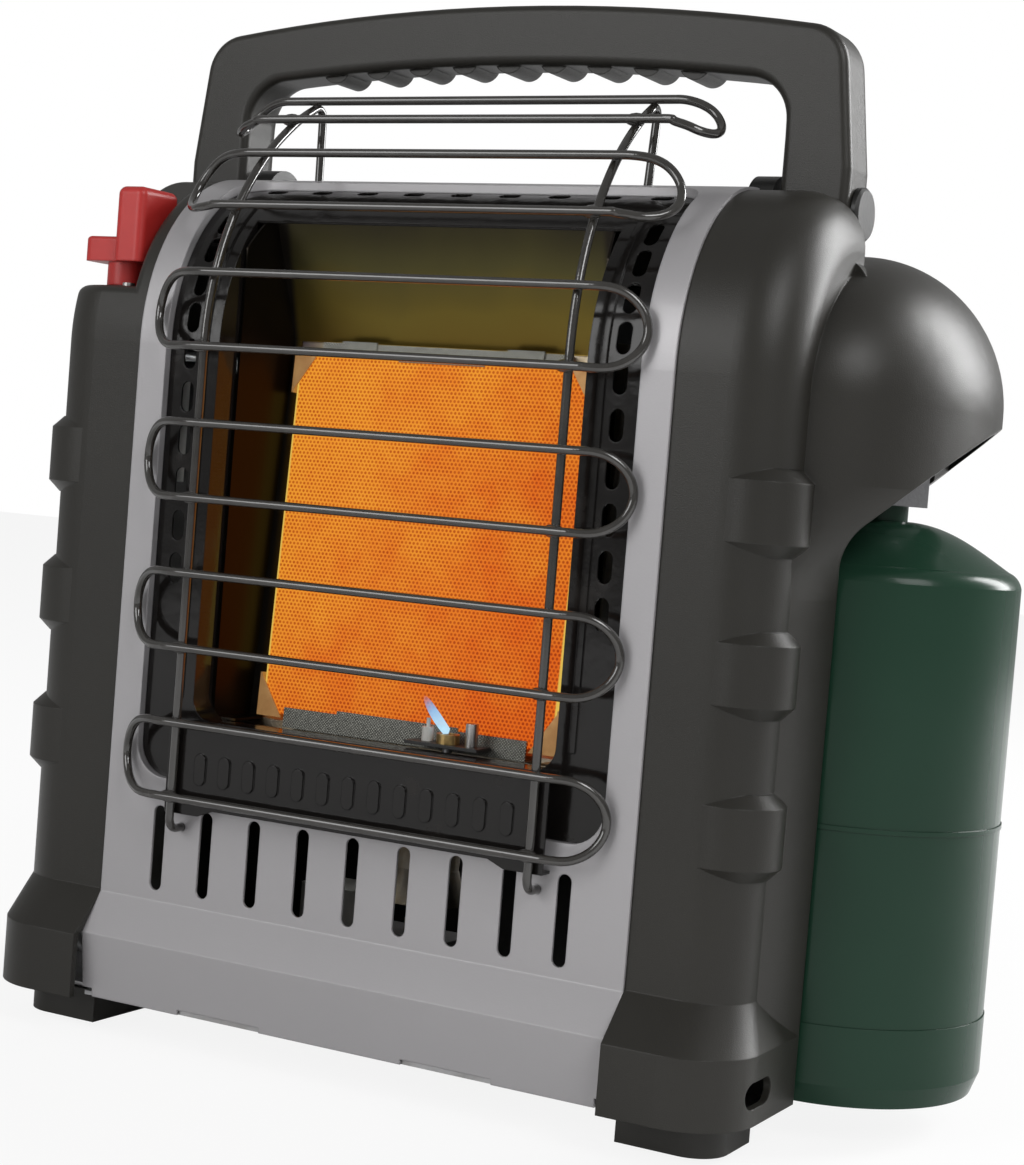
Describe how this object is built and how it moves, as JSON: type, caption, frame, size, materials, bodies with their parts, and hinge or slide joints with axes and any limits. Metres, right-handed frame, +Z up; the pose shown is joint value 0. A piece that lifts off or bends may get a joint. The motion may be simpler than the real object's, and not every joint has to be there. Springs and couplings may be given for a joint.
{
  "type": "portable propane heater",
  "caption": "Portable radiant propane heater with ceramic burner, wire guard, folding carrying handle, control knob and a swing-out regulator holding a small gas cylinder.",
  "frame": {"origin": "middle of the heater's outline seen from above, on the floor under the foot pads", "axes": "+X to the heater's right-hand side, where the gas cylinder is; +Y to the back; +Z up"},
  "size_m": [0.34, 0.1808, 0.3733],
  "materials": {
    "panel_paint": "satin light grey baked paint",
    "black_enamel": "glossy black heat-proof enamel",
    "guard_wire": "glossy dark grey coating on steel wire",
    "reflector_steel": "heat-tinted stainless sheet",
    "tile_ceramic": "perforated ceramic, glowing orange in use",
    "fibre": "white ceramic fibre",
    "burner_steel": "aluminised sheet, dull",
    "clip_steel": "tan heat-tinted sheet",
    "brass": "turned brass",
    "gas_tube": "drawn tube, dull",
    "stem_steel": "turned steel",
    "knob_red": "moulded red plastic, soft gloss",
    "black_plastic": "moulded black plastic, fine texture, soft sheen",
    "shield_paint": "black baked paint",
    "zinc": "zinc-plated sheet",
    "die_cast": "painted die casting",
    "cylinder_green": "glossy dark green paint",
    "cylinder_ring": "glossy dark green paint",
    "rubber": "matt black rubber",
    "igniter_plastic": "white heat-proof plastic",
    "spark_ceramic": "white glazed ceramic with a wire",
    "screw": "plated steel screws"
  },
  "bodies": {
    "heater": {"front_panel": "panel_paint", "lower_plate": "black_enamel", "chamber_frame": "black_enamel", "reflector": "reflector_steel", "ceramic_tile": "tile_ceramic", "tile_gasket": "fibre", "burner_plenum": "burner_steel", "mixer_tube": "burner_steel", "tile_clips": "clip_steel", "tile_strip_low": "clip_steel", "tile_strip_top": "clip_steel", "orifice_bracket": "zinc", "burner_orifice": "brass", "control_valve": "die_cast", "valve_screws": "screw", "piezo_igniter": "igniter_plastic", "pilot_bracket": "zinc", "pilot_burner": "brass", "spark_electrode": "spark_ceramic", "thermocouple": "stem_steel", "gas_tube_main": "gas_tube", "gas_tube_inlet": "gas_tube", "gas_tube_pilot": "gas_tube", "tip_switch": "igniter_plastic", "swivel_bracket": "zinc", "swivel_joint": "brass", "right_cover": "black_plastic", "left_cover": "black_plastic", "base_pan": "zinc", "back_panel": "shield_paint", "top_shield": "shield_paint", "foot_front_left": "black_plastic", "foot_front_right": "black_plastic", "foot_rear_left": "black_plastic", "foot_rear_right": "black_plastic", "foot_pads": "rubber", "handle_bracket_left": "shield_paint", "handle_bracket_right": "shield_paint", "handle_pin_left": "screw", "handle_pin_right": "screw", "guard_upright_left": "guard_wire", "guard_upright_right": "guard_wire", "back_screws": "screw", "guard_hoop_1": "guard_wire", "guard_hoop_2": "guard_wire", "guard_hoop_3": "guard_wire", "guard_hoop_4": "guard_wire", "guard_hoop_5": "guard_wire", "guard_hoop_6": "guard_wire"},
    "handle": {"handle": "black_plastic"},
    "stem": {"valve_stem": "stem_steel"},
    "knob": {"control_knob": "knob_red"},
    "regulator": {"regulator_body": "die_cast", "regulator_cap": "zinc", "inlet_nut": "die_cast"},
    "cylinder": {"bottle_shell": "cylinder_green", "bottle_foot_ring": "cylinder_ring", "bottle_valve": "cylinder_green"}
  },
  "joints": [
    {"name": "handle_fold", "type": "hinge", "parent": "heater", "child": "handle", "pos_m": [-0.01965, -0.00385, 0.3035], "axis": [-1, 0, 0], "range_deg": [0, 90]},
    {"name": "knob_turn", "type": "hinge", "parent": "heater", "child": "stem", "pos_m": [-0.14915, -0.05285, 0.27], "axis": [0, 0, -1], "range_deg": [0, 135]},
    {"name": "knob_push", "type": "slide", "parent": "stem", "child": "knob", "axis": [0, 0, -1], "range_m": [0, 0.003], "stiffness_N_per_m": 800},
    {"name": "regulator_swing", "type": "hinge", "parent": "heater", "child": "regulator", "pos_m": [0.12035, 0.01965, 0.246], "axis": [0, -1, 0], "range_deg": [0, 40]},
    {"name": "cylinder_release", "type": "slide", "parent": "regulator", "child": "cylinder", "axis": [0, 0, -1], "range_m": [0, 0.012]}
  ]
}
